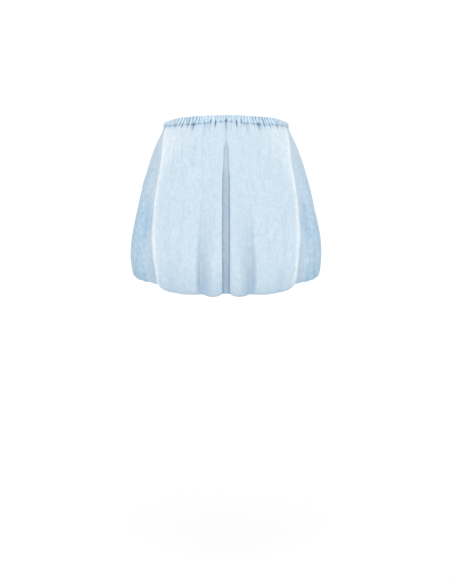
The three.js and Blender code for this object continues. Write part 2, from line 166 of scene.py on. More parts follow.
# The gathers of the front half of the waist, by their angle from the centre: how deep the groove is in the
# band and in the panel just under it, and how far it runs down the panel.
FRONT_GATHERS = (
    (0, 1.7, 0.8, 12), (2.1, 0.9, 0.5, 14), (4.6, 1.3, 0.5, 10), (7.3, 0.7, 0.3, 8),
    (9.4, 1.4, 1.6, 13), (13.75, 1.9, 1, 12), (16.8, 1.3, 0.6, 14), (20, 1.1, 0.8, 14),
    (23.2, 0.8, 0.5, 10), (25.6, 1.3, 0.5, 16), (28.6, 1.8, 1, 12), (32.6, 1.9, 1.1, 13),
    (36.2, 1.9, 0.9, 11), (39.4, 1.3, 0.4, 8), (42.6, 1.6, 0.8, 10), (46.9, 2.2, 0.5, 9),
    (51.5, 1.4, 0.9, 10), (55.3, 1.5, 0.4, 8), (59.3, 1.5, 0.6, 10), (64.7, 1.4, 0.5, 9),
    (71.5, 1.6, 0.8, 12), (76.5, 1.5, 0.9, 14), (81, 1.3, 0.7, 14), (85.5, 1.5, 0.8, 16),
)
# The back's gathers are uneven: the limits of their depths and run, each with a seed.
BACK_GATHERS = 24
BACK_GATHER_JITTER = 0.45
BACK_GATHER_VALUES = ((0.8, 2.0, 50), (0.4, 1.4, 90), (9, 30, 130))
GATHER_CROWDING = 0.055
GATHER_FADE = 1.4
GATHERS_START = (1.2, 1.6)
FLUTE_RISE = 1.1
FLUTE_SHAPE = 0.7
FLUTE_RUN = 16
FLUTE_FADE = 1.2
GROOVE_HALF = 1.1
GROOVE_SHAPE = 1.4
TINT_HALF = 1.35

# The painted shade of the waist seam, which is broken into dashes where the cloth is sunk between gathers.
SEAM_SHADOW = 1.3
SEAM_SHADOW_HALF = 1.5
DASH_STRENGTH = 1.5
DASH_RATE = 1.3
DASH_WANDER = 3
DASH_WANDER_RATE = 0.37
DASH_GAP = 0.1

# Puckers under the waist seam, dark V shapes that the gathers meet in: angle, depth, half width, length.
FRONT_PUCKERS = (
    (0, 2.7, 2.8, 27), (5.4, 0.9, 1.4, 8), (9.3, 1.6, 1.9, 14), (15.6, 1.3, 1.7, 12),
    (18.4, 0.75, 1.9, 50), (30.4, 2.6, 2.7, 22), (36.4, 1.5, 2.2, 13), (43, 1.7, 2.2, 14),
    (52.5, 1.6, 2.4, 14), (63, 1.2, 2.2, 11), (77, 1.5, 3, 15),
)
BACK_PUCKERS = (
    (6, 1.6, 2.6, 18), (14.5, 2.4, 3.8, 20), (24, 1.3, 2.4, 46), (35, 2.6, 4.2, 18),
    (46.5, 1.5, 2.6, 26), (58, 2, 3.4, 16), (71, 1.4, 3, 20),
)
PUCKER_TIP = 0.3
# PUCKER_TINT is the painted shade in a pucker's dent.
PUCKER_TINT = 1.05

# The heights of the waist seam and of the band's top edge, by the angle from the panel's centre.
EDGE_COLUMNS = ("angle", "seam", "top")
FRONT_EDGES = (
    (0, -8, 6.3), (5, -8.4, 6.3), (10, -9.5, 6.2), (18, -10.3, 6), (29, -11, 5.8), (40, -10.7, 5.8),
    (53, -10, 4.8), (65, -9, 3.3), (76, -8.2, 2.5), (90, -7.8, 2.2),
)
BACK_EDGES = (
    (0, -9, 6.4), (30, -10.2, 6.2), (60, -9.6, 4.6), (90, -7.8, 2.2),
)
SEAM_RISE = 0.45
SEAM_RISE_HALF = 1.6
SEAM_WAVE_REACH = 12.0

# Soft creases between the main folds: 1 on the right, -1 on the left or 0 on both, then the angle and the
# length below the waist seam where it starts and where it ends, its depth and its half width.
FRONT_CREASES = (
    (0, 17, 70, 18.5, 190, 0.7, 7), (0, 38.5, 6, 34.5, 105, 0.8, 3.5), (1, 26, 8, 24.5, 150, 0.7, 4),
    (-1, 24.5, 8, 24, 120, 0.7, 4), (0, 45.5, 6, 43, 135, 0.7, 4), (1, 12.5, 12, 11, 130, 0.6, 4),
    (-1, 13, 12, 11.5, 100, 0.6, 4), (-1, 29, 120, 27, 300, 0.8, 6),
    (1, 27.5, 140, 26, 290, 0.7, 6), (0, 38.5, 170, 36.5, 350, 0.8, 7), (0, 8, 120, 9.5, 300, 0.5, 8),
    (0, 30, 250, 34, 372, 1, 10), (0, 70, 20, 76, 150, 1, 7),
    (0, 82, 30, 74, 170, 0.9, 7), (0, 63.5, 140, 60.5, 285, 1.7, 7),
    (0, 80, 150, 73, 290, 1.4, 7), (0, 63, 230, 69, 345, 1.3, 7),
    (0, 84, 230, 79, 360, 1.2, 7), (0, 69, 305, 74, 388, 2.3, 9),
    (0, 58, 300, 64, 380, 1.3, 7), (0, 86, 60, 87, 220, 0.7, 6),
)
BACK_CREASES = (
    (1, 11, 14, 16, 230, 2.6, 9), (-1, 7, 30, 2, 270, 2.8, 10), (1, 36, 6, 30, 170, 2.5, 8),
    (-1, 30, 4, 37, 190, 2.4, 8), (1, 45, 90, 39, 335, 3, 11),
    (-1, 47, 130, 41, 355, 2.8, 11), (1, 2, 230, 9, 392, 3.2, 10),
    (-1, 17, 200, 10, 388, 3, 9), (1, 27, 180, 22, 330, 2, 8),
    (-1, 25, 60, 21, 210, 1.7, 7), (0, 36, 290, 41, 396, 2.8, 10),
    (0, 72, 30, 78, 170, 1.8, 8), (1, 83, 60, 76, 220, 1.8, 8), (-1, 81, 90, 75, 240, 1.9, 8),
    (0, 68, 190, 73, 320, 2.1, 8), (1, 82, 240, 77, 370, 2.1, 8),
    (-1, 84, 220, 80, 350, 2, 8), (0, 65, 310, 71, 388, 2.2, 7),
)
# A crease wanders a little, and has a low bank beside it.
CREASE_WANDER = 1.2
CREASE_WANDER_RATE = 5.0
CREASE_BANK = 0.35
CREASE_BANK_OFF = 1.7
CREASE_ACROSS = 3
CREASE_FADE = 0.7
# Painted shade along the soft creases and in the folds' valleys.
CREASE_TINT = 0.16
VALLEY_TINT = 0.017

# The side seams dip, and their dip is gathered by two waves of a height and a length each.
SIDE_SEAM_DIP = 0.9
SIDE_SEAM_HALF = 2.4
SIDE_SEAM_WAVES = ((0.5, 6.5), (0.3, 2.9))
# A panel's relief fades over the last of its depth towards the side seam, beyond a half width.
SEAM_FADE = (0.2, 3.0)
SEAM_FADE_BEYOND = 120

# The gathers of the turned-under cloth, and the painted shade round the hem.
HEM_GATHERS = 34
HEM_GATHERS_GROW = (-6, 22)
HEM_GATHER_DRIFT = 0.22
HEM_GATHER_DRIFT_RATE = 1.9
HEM_GATHER_HEIGHTS = (0.6, 1.7)
HEM_GATHER_SHAPE = 0.8
HEM_GATHER_SINKS = 0.35
HEM_GATHER_TINT = 0.45
PLEAT_RIPPLE = 0.25
HEM_TINT = 0.55
HEM_TINT_REACH = 100.0

# The slow unevenness of the cloth, as waves with limits to their widths and lengths.
SOFT_WAVES = 7
SOFT_WIDTHS = (38, 120)
SOFT_LENGTHS = (90, 260)
SOFT_TURN = 6.283
SOFT_DEPTH = 0.28
SOFT_BEND = 1.7
SOFT_GROWS = (0, 60)
SOFT_FADES = (-4, 40)

# Numbers of columns and rows of the cloth's grids, and how the inner face is thinned at sharp corners.
SIDE_STEPS = 216
PLEAT_STEPS = 36
# The columns past the pleat over which the cloth thickens.
PAST_PLEAT = (PLEAT_STEPS, 16)
ROW_STEPS = ((0, 36, 24), (36, 84, 20), (84, 300, 36), (300, 999, 52))
PLEAT_LIP_STEPS = 8
INNER_FINE_REACH = 26.0
NEAR_STEPS = 2
THINNING_ROUNDS = 8
CROWDED_SHARE = 0.25
THINNING = 0.7
THICKNESS_GROWS = 1.3
THINNEST = 0.04

# The crest of a panel's first fold is paler, partly wear and partly a painted highlight, and the cloth
# outside it is darker, partly a duller wash and partly painted shade.
# A pair is the value low on the panel and near its top, or above and below where the fold bulges.
CREST_HALF = (3.2, 6.0)
CREST_SHARE = 0.35
HALO_INNER = (7.0, 60.0)
HALO_OUTER = (12.0, 9.0)
HALO_SHARE = (0.28, 0.5)
TOP_REACH = 0.55
BOWED_AT = 0.43
BOWED_HALF = 0.13
BOWED_HALO = 12
BOWED_FOOT = 17
BULGES = (0.6, 0.18)
DULL_FOOT = (13, 26)
DULL_OVER = (24, 32)
DULL_TOP = 0.15
DULL_GROWS = (0.1, 0.5)
WEAR_GROWS = (-4, 16)

# The waistband's section, from its lower edge up the outside, over the elastic and down the inside.
# The columns are the share of the height, the share of the thickness behind the outer face, how much of the
# band's swelling shows there and the share of a gather's depth.
BAND_SECTION = (
    (0, 0, 0, 1), (0.05, -0.08, 0.05, 0.95), (0.1, 0.1, 0.1, 1), (0.15, -0.08, 0.3, 0.85),
    (0.25, -0.1, 0.6, 0.8), (0.35, -0.1, 0.8, 0.8), (0.46, -0.1, 0.95, 0.8), (0.57, -0.1, 1, 0.8),
    (0.68, -0.08, 0.9, 0.85), (0.78, -0.04, 0.75, 0.9), (0.86, 0.02, 0.6, 0.95), (0.92, 0.1, 0.45, 1),
    (0.965, 0.26, 0.35, 0.95), (0.98, 0.5, 0.3, 0.85), (0.965, 0.74, 0.3, 0.75), (0.92, 0.9, 0.3, 0.7),
    (0.8, 1, 0.5, 0.6), (0.6, 1, 0.9, 0.6), (0.4, 1, 0.9, 0.6), (0.2, 1, 0.4, 0.6),
    (0, 1, 0, 0.6),
)
BAND_STEPS = 1600
BAND_STITCH_ROW = 2
BAND_FADES = (0.5, 1.35)
BAND_FADE_TURNS = 0.75
# Painted shade in the band's puckers and along its lower edge; CRINKLE_TINT is painted shade in its crinkles.
BAND_PUCKER_TINT = 0.5
BAND_SEAM_SHADOW = 0.8
BAND_SHADOW_HALF = 0.05
PUCKER_UP = 0.7
# The gathers lean outwards up the band, fully from one angle on and less again at the side seam.
BAND_LEAN = 6.5
LEAN_FULL = 70
LEAN_ENDS = 8
RAGGED_DEPTH = 0.35
RAGGED = (0.75, 0.2)
CRINKLE_PITCH = 3.3
CRINKLE_DRIFT = 0.35
CRINKLE_DRIFT_RUN = 7.0
CRINKLE_BEND = 0.4
CRINKLE_BEND_RATE = 4.0
CRINKLE_BEND_RUN = 11.0
CRINKLE_DEPTH = 0.45
CRINKLE_HALF = 0.5
CRINKLE_TINT = 1.0

# The hem band is sewn to the last section of the cloth, and rises inside the skirt.
HEM_SEAM_WIDE, HEM_SEAM_FRONT, HEM_SEAM_BACK = SECTIONS[-1][1:4]
HEM_BAND_RISES = (0, 0.25, 0.5, 0.75, 1)
HEM_BAND_STEPS = 576
HEM_BAND_GATHERS = 96
HEM_BAND_WAVES = (0.15, 0.6)
HEM_BAND_FLATTENS = 0.6
HEM_STITCH_SHARE = 0.6

# The lengths that the weave of each band is laid out with, round it and from row to row.
BAND_ROUND = 760
BAND_ROW = 1.9
HEM_BAND_ROUND = 930
HEM_BAND_ROW = 3.5

# A stitch is a five-sided thread in four rings, which stands on the cloth and dips into it at both ends.
STITCH_LENGTH = 2.6
STITCH_SPACE = 3.6
STITCH_PARTS = (0.0, 0.25, 0.75, 1.0)
STITCH_SIDES = 5
STITCH_AHEAD = 0.4
THREAD = 0.42
STITCH_STANDS = 0.75
STITCH_DIPS = -0.5
STITCH_FULL = 0.5
STITCH_TIP = 0.3
THREAD_COORDINATE = 0.0004


def column(table, names, name):
    """One column of a table as an array."""
    return np.array([row[names.index(name)] for row in table], float)


def clamp(x):
    return np.clip(x, 0.0, 1.0)


def ease(x):
    """A smooth step from 0 to 1."""
    x = clamp(x)
    return x * x * (3 - 2 * x)


def ramp(at, span):
    """A smooth step from 0 to 1 that starts at the span's first number and is as long as its second."""
    return ease((at - span[0]) / span[1])


def mix(a, b, share):
    return a + (b - a) * share


def uneven(i):
    """A number from 0 to 1 that looks random and is the same each time."""
    wide = np.sin(np.asarray(i, float) * 12.9898 + 4.1414) * 43758.5453
    return wide - np.floor(wide)


def between(limits, i):
    """An uneven number between two limits."""
    return mix(limits[0], limits[1], uneven(i))


def curve(places, values, at):
    """A smooth line through a table's values that doesn't overshoot between two rows."""
    x, y = np.asarray(places, float), np.asarray(values, float)
    step = np.diff(x)
    slope = np.diff(y) / step
    before, after = 2 * step[1:] + step[:-1], step[1:] + 2 * step[:-1]
    same = slope[:-1] * slope[1:] > 0
    safe = np.where(same, slope[:-1], 1.0), np.where(same, slope[1:], 1.0)
    inner = np.where(same, (before + after) / (before / safe[0] + after / safe[1]), 0.0)
    tangent = np.concatenate(([slope[0]], inner, [slope[-1]]))
    at = np.clip(np.asarray(at, float), x[0], x[-1])
    i = np.clip(np.searchsorted(x, at, side="right") - 1, 0, len(x) - 2)
    t = (at - x[i]) / step[i]
    rise = (t**3 - 2 * t**2 + t) * tangent[i] + (t**3 - t**2) * tangent[i + 1]
    return mix(y[i], y[i + 1], 3 * t**2 - 2 * t**3) + rise * step[i]


def look_up(table, names, name, at):
    """One column's value at a place of the table's first column."""
    return curve(column(table, names, names[0]), column(table, names, name), at)


def bell(away, half):
    """1 at 0, falling smoothly to nothing about two halves away."""
    return np.exp(-((away / half) ** 2))


def reach(wide, deep, angle):
    """The length along a section for each radian of its angle."""
    turn = np.radians(angle)
    return np.hypot(wide * np.cos(turn), deep * np.sin(turn))


# The form of the panels.
FALLS = column(SECTIONS, SECTION_COLUMNS, "fall")
WIDES = column(SECTIONS, SECTION_COLUMNS, "wide")
SIDE_DROP = INSIDE_HEM_SIDE - SEAM_Z
# The length of cloth from the waist seam to each section, measured down the side.
TRAVELS = np.concatenate(([0.0], np.cumsum(np.hypot(np.diff(WIDES), np.diff(FALLS) * SIDE_DROP))))
CLOTH_LENGTH = TRAVELS[-1]
HEM_TRAVEL = TRAVELS[list(FALLS).index(1.0)]
WIDEST_TRAVEL = TRAVELS[int(np.argmax(WIDES))]


def gather_angle(share, start):
    """The angle at the waist of a column, by its share of those from the centre to the side seam."""
    return mix(start, SIDE_ANGLE, share - GATHER_CROWDING * np.sin(np.pi * share))


def fold_angle(fold, fall):
    """A fold's angle at one fall."""
    top, middle, hem = fold[:3]
    if fall < MIDDLE_FALL:
        return mix(middle, top, (1 - fall / MIDDLE_FALL) ** 2)
    return mix(middle, hem, ease((fall - MIDDLE_FALL) / (1 - MIDDLE_FALL)))


def fold_push(folds, strength, fall, angle, wide, deep):
    """How far the folds push the cloth out at each angle of a section."""
    push = np.zeros_like(angle)
    for fold in folds:
        depth, inner, outer, start, full, end, sharp = fold[3:]
        at = fold_angle(fold, fall)
        away = np.radians(angle - at) * reach(wide, deep, at)
        near = clamp(1 - np.abs(away) / np.where(away < 0, inner, outer))
        shape = mix(ease(near), near**CREASED_SHAPE, sharp)
        left = 1 if end == LASTING else 1 - ease(fall / end)
        push -= depth * shape * ease((fall - start) / (full - start)) * left * strength
    return push


def stop_angle(panel, fall, share, start, wide, deep):
    """The angles of the lower cloth's columns, from the pleat's lip, or the centre, to the side seam."""
    shares, angles = [0.0], [start]
    for stop_share, fold, off in panel["stops"]:
        at = fold_angle(panel["folds"][fold], fall)
        shares.append(stop_share)
        angles.append(at + math.degrees(off / reach(wide, deep, at)))
    return curve(shares + [1.0], angles + [SIDE_ANGLE], share)


def inside_hem(angle):
    """How low the turned-under cloth reaches, by the angle from the panel's centre."""
    return INSIDE_HEM_SIDE - INSIDE_HEM_DROP * np.cos(np.radians(angle)) ** 2


def seam_height(panel, angle, travel):
    """How far the waist seam lies above its common height, fading out down the panel."""
    lift = look_up(panel["edges"], EDGE_COLUMNS, "seam", angle) - SEAM_Z - SEAM_RISE / 2
    for at, depth, *_ in panel["puckers"]:
        lift += SEAM_RISE * depth * bell(angle - at, SEAM_RISE_HALF)
    return lift * ease(1 - travel / SEAM_WAVE_REACH)


def section_at(travel, panel):
    """The section's values at a length of cloth from the waist seam."""
    names = ("fall", "wide", panel["depth"], "folds", "inside")
    return [float(curve(TRAVELS, column(SECTIONS, SECTION_COLUMNS, name), travel)) for name in names]


def row_travels():
    """The rows of a panel's grid, closest together at the gathers and round the hem."""
    rows = []
    for start, end, count in ROW_STEPS:
        rows += list(np.linspace(start, min(end, CLOTH_LENGTH), count, endpoint=False))
    return np.array(rows + [CLOTH_LENGTH])


def pleat_line(part):
    """The pleat's section at a part of the way from its middle, 0, to the end of its lip, 1."""
    rows = np.linspace(0, 1, len(PLEAT_SECTION))
    mouth, bulge, deep = (curve(rows, column(PLEAT_SECTION, PLEAT_SECTION_COLUMNS, name), part)
                          for name in PLEAT_SECTION_COLUMNS)
    lip = ease((part - rows[-2]) / (1 - rows[-2]))
    return mouth, bulge, deep, lip


def pleat_row(fall, wide, strength, spread):
    """The pleat's columns in one row: their angles, how far they stand out, and the angle of the lip."""
    names = PLEAT_SIZE_COLUMNS
    mouth, bulge, depth = (float(look_up(PLEAT_SIZES, names, name, fall)) for name in names[1:])
    part = np.arange(PLEAT_STEPS) / PLEAT_STEPS
    mouth_share, bulge_share, deep_share, lip_share = pleat_line(part)
    across = mouth_share * mouth + bulge_share * bulge + lip_share * PLEAT_LIP
    angle = mix(np.degrees(np.arcsin(across / wide)), part * PLEAT_OPENS, spread)
    lip = math.degrees(math.asin((mouth + PLEAT_LIP) / wide))
    return angle, -deep_share * depth * strength, lip


def place_stretch(panel, travel, angle, out, straight):
    """Points of one stretch of a row, pushed out straight forwards or square to the section."""
    fall, wide, deep, _, inside = section_at(travel, panel)
    turn = np.radians(angle)
    x, y = wide * np.sin(turn), deep * np.cos(turn)
    nx, ny = x / wide**2, y / deep**2
    size = np.hypot(nx, ny)
    nx, ny = (0 * nx, 1 + 0 * ny) if straight else (nx / size, ny / size)
    low = mix(look_up(panel["hem"], HEM_COLUMNS, "low", angle), inside_hem(angle), inside)
    z = mix(SEAM_Z, low, fall) + seam_height(panel, angle, travel)
    return x + nx * out, np.maximum(y + ny * out, SEAM_GAP / 2), z, angle


def panel_row(panel, travel):
    """One row of a panel's right half, from the centre to the side seam: x, y, z and angle."""
    fall, wide, deep, strength, inside = section_at(travel, panel)
    spread = float(ease((inside - SPREAD_FROM) / (SPREAD_FULL - SPREAD_FROM)))
    lip = 0.0
    stretches = []
    if panel["pleat"]:
        folded, out, lip = pleat_row(fall, wide, strength, spread)
        stretches.append((folded, out, True))
    share = np.arange(SIDE_STEPS + 1) / SIDE_STEPS
    top = gather_angle(share, lip)
    low = stop_angle(panel, fall, share, lip, wide, deep)
    angle = mix(top, low, ease((fall - STOPS_FROM) / (STOPS_FULL - STOPS_FROM)))
    if panel["pleat"]:
        pushed = clamp((PLEAT_PUSHES - angle) / (PLEAT_PUSHES - lip))
        angle = angle + (PLEAT_OPENS - lip) * pushed * spread
    stretches.append((angle, fold_push(panel["folds"], strength, fall, angle, wide, deep), False))
    placed = [place_stretch(panel, travel, *stretch) for stretch in stretches]
    return [np.concatenate(values) for values in zip(*placed)]


# The relief of the panels: gathers, puckers, creases and the hem.
def pucker_dent(panel, travel, angle):
    """How deep the puckers under the waist seam are at a length below it."""
    dent = np.zeros_like(angle)
    for at, depth, half, length in panel["puckers"]:
        if travel < length:
            left = 1 - travel / length
            away = np.radians(angle - at) * reach(WAIST_HALF_WIDTH, WAIST_HALF_DEPTH, at)
            dent += depth * left * bell(away, half * mix(PUCKER_TIP, 1.0, left))
    return dent


def gather_list(panel):
    """The panel's gathers as rows of angle, band depth, panel depth and run."""
    if panel["pleat"]:
        return FRONT_GATHERS
    rows = []
    for i in range(1, BACK_GATHERS):
        place = i + BACK_GATHER_JITTER * (uneven(i) - 0.5)
        angle = float(gather_angle(place / BACK_GATHERS, 0.0))
        rows.append((angle, *(between(limits, i + seed) for *limits, seed in BACK_GATHER_VALUES)))
    return rows


def flutes(angle, places, depths):
    """The rounded flutes between gathers and the grooves between them, for depths given at each gather."""
    first = 1 if places[0] == 0 else 0
    places = np.array([-places[first], *places, 2 * SIDE_ANGLE - places[-1]])
    depths = np.array([depths[first], *depths, depths[-1]])
    i = np.clip(np.searchsorted(places, angle, side="right") - 1, 0, len(places) - 2)
    part = clamp((angle - places[i]) / (places[i + 1] - places[i]))
    nearest = np.where(part < 0.5, i, i + 1)
    away = np.abs(np.radians(angle - places[nearest])) * reach(WAIST_HALF_WIDTH, WAIST_HALF_DEPTH, angle)
    round_top = np.sin(np.pi * part) ** FLUTE_SHAPE
    groove = np.exp(-((away / GROOVE_HALF) ** GROOVE_SHAPE))
    # The second value is painted shade along each groove.
    return FLUTE_RISE * round_top - depths[nearest] * groove, bell(away, TINT_HALF) * depths[nearest]


def seam_dashes(angle):
    """Where the waist seam is sunk between two gathers, from 0 to 1."""
    wander = DASH_WANDER * np.sin(angle * DASH_WANDER_RATE)
    return clamp(DASH_STRENGTH * np.sin(angle * DASH_RATE + wander) - DASH_GAP)


def gather_relief(panel, travel, angle):
    """How far the gathers stand out on the panel at a length below the seam, and their painted shade."""
    rows = gather_list(panel)
    depths = [row[2] * math.exp(-((travel / row[3]) ** GATHER_FADE)) for row in rows]
    out, groove = flutes(angle, [row[0] for row in rows], depths)
    out = out * math.exp(-((travel / FLUTE_RUN) ** FLUTE_FADE))
    dent = pucker_dent(panel, travel, angle)
    seam_shadow = SEAM_SHADOW * bell(travel, SEAM_SHADOW_HALF) * seam_dashes(angle)
    return out - dent, groove + dent * PUCKER_TINT + seam_shadow


def crease_relief(panel, travel, angle, side):
    """How far the soft creases and the side seam stand out at a length below the waist seam."""
    fall, wide, deep, strength, inside = section_at(travel, panel)
    out = np.zeros_like(angle)
    for on, from_angle, from_travel, to_angle, to_travel, depth, half in panel["creases"]:
        part = (travel - from_travel) / (to_travel - from_travel)
        if not 0 < part < 1:
            continue
        wander = CREASE_WANDER * math.sin(part * CREASE_WANDER_RATE + from_angle)
        at = mix(from_angle, to_angle, part) + wander
        away = np.radians(angle - at) * reach(wide, deep, at)
        shape = bell(away, half) - CREASE_BANK * bell(away - CREASE_BANK_OFF * half, half)
        here = 1.0 if on == 0 else np.where(side == on, 1.0, ease(1 - angle / CREASE_ACROSS))
        out -= depth * math.sin(math.pi * part) ** CREASE_FADE * shape * here
    from_seam = np.radians(SIDE_ANGLE - angle) * reach(wide, deep, SIDE_ANGLE)
    gathered = 1 + sum(tall * math.sin(travel / length) for tall, length in SIDE_SEAM_WAVES)
    return out - SIDE_SEAM_DIP * bell(from_seam, SIDE_SEAM_HALF) * gathered


def hem_relief(panel, travel, count):
    """How far the turned-under gathers stand out, growing towards the hem band, and their painted shade."""
    grown = ramp(travel - HEM_TRAVEL, HEM_GATHERS_GROW)
    q = np.linspace(0, 1, count) * HEM_GATHERS
    q = q + HEM_GATHER_DRIFT * np.sin(q * HEM_GATHER_DRIFT_RATE + panel["seed"])
    i = np.floor(q)
    tall = between(HEM_GATHER_HEIGHTS, i + panel["seed"])
    rise = np.sin(np.pi * (q - i)) ** HEM_GATHER_SHAPE
    return grown * tall * (rise - HEM_GATHER_SINKS), grown * HEM_GATHER_TINT * tall * (1 - rise) ** 2


def soft_relief(panel, travel, x_mm):
    """Slow, shallow unevenness of worn cloth."""
    out = np.zeros_like(x_mm)
    for k in range(SOFT_WAVES):
        wave = between(SOFT_WIDTHS, k + panel["seed"])
        tall = between(SOFT_LENGTHS, k + panel["seed"] + 20)
        phase = SOFT_TURN * uneven(k + panel["seed"] + 40)
        bend = SOFT_BEND * math.sin(travel / tall * SOFT_TURN + phase)
        out += SOFT_DEPTH * np.sin(x_mm / wave * SOFT_TURN + phase + bend)
    grown = float(ramp(travel, SOFT_GROWS) * ramp(HEM_TRAVEL - travel, SOFT_FADES))
    return out * grown


def pleat_shade(fall, travel, angle, part):
    """The painted shade inside the pleat, deepest beside its walls, and along the closed line above it."""
    walls = mix(*PLEAT_TINT_SPAN, ramp(part, WALL_SHADE)) * (1 - ramp(part, LIP_LIGHT))
    low = mix(PLEAT_TINT_TOP, 1.0, float(ramp(fall, PLEAT_TINT_GROWS)))
    inside = PLEAT_TINT * walls * low * ramp(fall, PLEAT_TINT_STARTS)
    return inside + CENTRE_TINT * bell(angle, CENTRE_TINT_HALF) * bell(travel, CENTRE_TINT_RUN)


def row_relief(panel, travel, angle, x, from_middle):
    """How far one row's relief stands out, and how deep in painted shade each of its points is."""
    fall, wide, deep, strength, inside = section_at(travel, panel)
    relief, shade = gather_relief(panel, travel, angle)
    ripple, ripple_shade = hem_relief(panel, travel, len(angle))
    plain = from_middle >= 0
    if panel["pleat"]:
        keep = ramp(angle, GATHERS_START)
        relief = relief * keep
        shade = shade * keep + pleat_shade(fall, travel, angle, from_middle / PLEAT_STEPS)
        ripple = ripple * mix(PLEAT_RIPPLE, 1.0, ramp(from_middle, PAST_PLEAT))
        plain = from_middle >= PLEAT_STEPS
    creased = crease_relief(panel, travel, angle, np.sign(x)) * plain
    valley = np.maximum(0, -fold_push(panel["folds"], strength, fall, angle, wide, deep))
    # Painted shade that darkens the cloth towards the hem.
    near_hem = HEM_TINT * clamp(1 - (HEM_TRAVEL - travel) / HEM_TINT_REACH) ** 2
    shade = shade + VALLEY_TINT * valley + CREASE_TINT * np.maximum(0, -creased) + near_hem + ripple_shade
    return relief + ripple + creased + soft_relief(panel, travel, x) * plain, shade


# The panels' grids of points, and the meshes made from grids.
def lowest_near(values, steps):
    """The lowest value within so many steps along each row."""
    wide = np.pad(values, ((0, 0), (steps, steps)), mode="edge")
    return np.min([wide[:, k:k + values.shape[1]] for k in range(2 * steps + 1)], axis=0)


def inner_face(points, normals, out, thick):
    """The cloth's inner face, thinned wherever its points would crowd past each other at a sharp corner."""
    apart = thick + out - lowest_near(out, NEAR_STEPS)
    for _ in range(THINNING_ROUNDS):
        lined = points - normals * apart[:, :, None]
        for axis in (0, 1):
            outer_step = np.diff(points, axis=axis)
            inner_step = np.diff(lined, axis=axis)
            crowded = (outer_step * inner_step).sum(axis=2) < CROWDED_SHARE * (outer_step**2).sum(axis=2)
            for pad in ((0, 1), (1, 0)):
                ends = [(0, 0), (0, 0)]
                ends[axis] = pad
                apart[np.pad(crowded, ends)] *= THINNING
        apart = np.minimum(apart, lowest_near(apart, NEAR_STEPS) * THICKNESS_GROWS)
    return points - normals * np.maximum(apart, THINNEST)[:, :, None]


def grid_normals(points):
    """The outward normal at each point of a grid, level along its upper, lower and side edges."""
    down = np.gradient(points, axis=0)
    across = np.gradient(points, axis=1)
    normal = np.cross(down, across)
    normal[[0, -1], :, 2] = 0
    normal[:, [0, -1], 1] = 0
    return normal / np.maximum(np.linalg.norm(normal, axis=2, keepdims=True), 1e-9)


def panel_grid(panel):
    """A panel's outer and inner faces as grids of points, with each point's painted shade and angle."""
    travels = row_travels()
    half = [panel_row(panel, travel) for travel in travels]
    x, y, z, angle = (np.array([row[k] for row in half]) for k in range(4))
    points = np.stack([x, panel["sign"] * y, z], axis=2)
    mirrored = points[:, :0:-1] * np.array([-1.0, 1.0, 1.0])
    points = np.concatenate([mirrored, points], axis=1)
    angle = np.concatenate([angle[:, :0:-1], angle], axis=1)
    if panel["sign"] > 0:
        points = points[:, ::-1]
    normals = grid_normals(points)

    from_middle = np.abs(np.arange(angle.shape[1]) - (angle.shape[1] - 1) // 2)
    shade = np.zeros(angle.shape)
    out = np.zeros(angle.shape)
    for r, travel in enumerate(travels):
        out[r], shade[r] = row_relief(panel, travel, angle[r], points[r, :, 0], from_middle)
    # The relief fades where the two panels meet, so that their edges stay level along the side seam.
    at_seam = ramp(np.abs(points[:, :, 1]), SEAM_FADE)
    out *= np.where(np.abs(points[:, :, 0]) > SEAM_FADE_BEYOND, at_seam, 1.0)
    thick = CLOTH_THICK
    if panel["pleat"]:
        thick = mix(PLEAT_CLOTH_THICK, CLOTH_THICK, ramp(from_middle, PAST_PLEAT))
    points = points + normals * out[:, :, None]
    lined = inner_face(points, normals, out, thick)
    points[:, [0, -1], 1] = panel["sign"] * SEAM_GAP / 2
    return travels, points, lined, shade, angle


def cloth_coordinates(travels, points):
    """Where each point lies on the flat cut, in metres, with its width taken where the cloth is widest."""
    widest = np.argmin(np.abs(travels - WIDEST_TRAVEL))
    steps = np.linalg.norm(np.diff(points[widest], axis=0), axis=1)
    across = np.concatenate(([0.0], np.cumsum(steps)))
    across -= across[-1] / 2
    u = np.repeat(across[None, :], len(travels), axis=0)
    v = np.repeat(travels[:, None], points.shape[1], axis=1)
    return np.stack([u * MM, v * MM, 0 * u], axis=2)


def place_object(name, data):
    """An object of the scene for its data."""
    obj = bpy.data.objects.new(name, data)
    bpy.context.scene.collection.objects.link(obj)
    return obj


def finish_mesh(name, verts, faces, attributes, material):
    """A mesh object in metres with its point attributes and a material."""
    mesh = bpy.data.meshes.new(name)
    mesh.from_pydata((np.asarray(verts) * MM).tolist(), [], faces)
    mesh.update()
    for key, values in attributes.items():
        vector = np.ndim(values) == 2
        stored = mesh.attributes.new(key, "FLOAT_VECTOR" if vector else "FLOAT", "POINT")
        stored.data.foreach_set("vector" if vector else "value", np.asarray(values, np.float32).ravel())
    mesh.polygons.foreach_set("use_smooth", [True] * len(mesh.polygons))
    mesh.materials.append(material)
    return place_object(name, mesh)


def patch_faces(index):
    """Quads over a grid of point numbers."""
    corners = (index[:-1, :-1], index[1:, :-1], index[1:, 1:], index[:-1, 1:])
    return np.stack(corners, axis=2).reshape(-1, 4).tolist()


def ring_faces(rows, cols):
    """Quads of a closed section swept all the way round."""
    index = np.arange(rows * cols).reshape(rows, cols)
    return patch_faces(np.pad(index, ((0, 1), (0, 1)), mode="wrap").T)


def rim_faces(outer, inner, places, flipped):
    """Faces that join an edge of the fine outer face to the same edge of the coarser inner one."""
    faces = []
    for k in range(len(inner) - 1):
        fine = outer[places[k]:places[k + 1] + 1].tolist()
        coarse = [int(inner[k + 1]), int(inner[k])]
        faces.append(fine[::-1] + coarse[::-1] if flipped else fine + coarse)
    return faces


